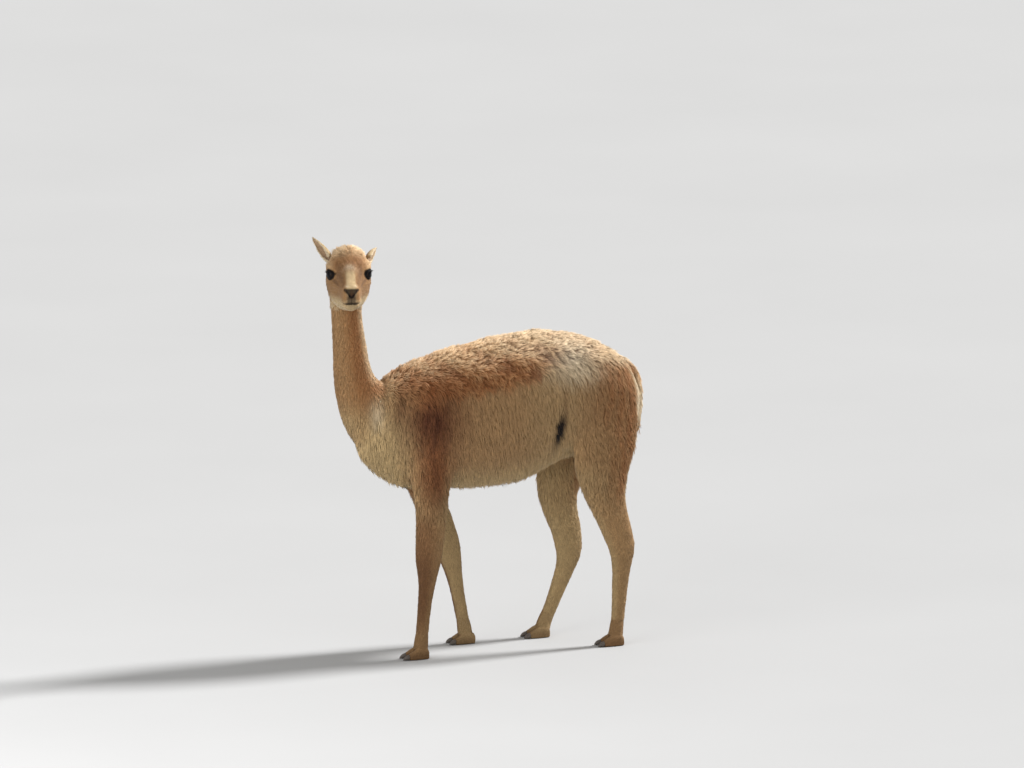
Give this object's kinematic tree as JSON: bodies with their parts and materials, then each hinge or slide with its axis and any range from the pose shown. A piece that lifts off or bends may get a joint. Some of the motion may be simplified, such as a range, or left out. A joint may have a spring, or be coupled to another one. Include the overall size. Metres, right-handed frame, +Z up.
{
  "type": "vicuna",
  "caption": "Life-size still model of a standing vicuna with a fluffy fleece, its head turned to its left, for a museum display or scene.",
  "frame": {"origin": "on the floor, at the middle of the animal's box seen from above", "axes": "+Z up; the body faces -Y with its left side towards +X, and the head is turned to +X"},
  "size_m": [0.316, 0.9616, 1.197],
  "materials": {
    "fleece": "soft clumped wool, cinnamon on the back, cream below",
    "head_coat": "short dense fur, cinnamon crown and cream throat",
    "leg_coat": "short fur, pale beige with a brown streak",
    "ear_coat": "fine short fur with a bare greyish inside",
    "eye": "wet and glossy, nearly black",
    "nail": "dark worn horn"
  },
  "bodies": {
    "root": {"ear_left": "ear_coat", "ear_right": "ear_coat", "eye_left": "eye", "eye_right": "eye", "foreleg_left": "leg_coat", "foreleg_right": "leg_coat", "head": "head_coat", "hindleg_left": "leg_coat", "hindleg_right": "leg_coat", "nail_foreleg_left_inner": "nail", "nail_foreleg_left_outer": "nail", "nail_foreleg_right_inner": "nail", "nail_foreleg_right_outer": "nail", "nail_hindleg_left_inner": "nail", "nail_hindleg_left_outer": "nail", "nail_hindleg_right_inner": "nail", "nail_hindleg_right_outer": "nail", "neck": "head_coat", "tail": "fleece", "torso": "fleece"}
  },
  "joints": []
}
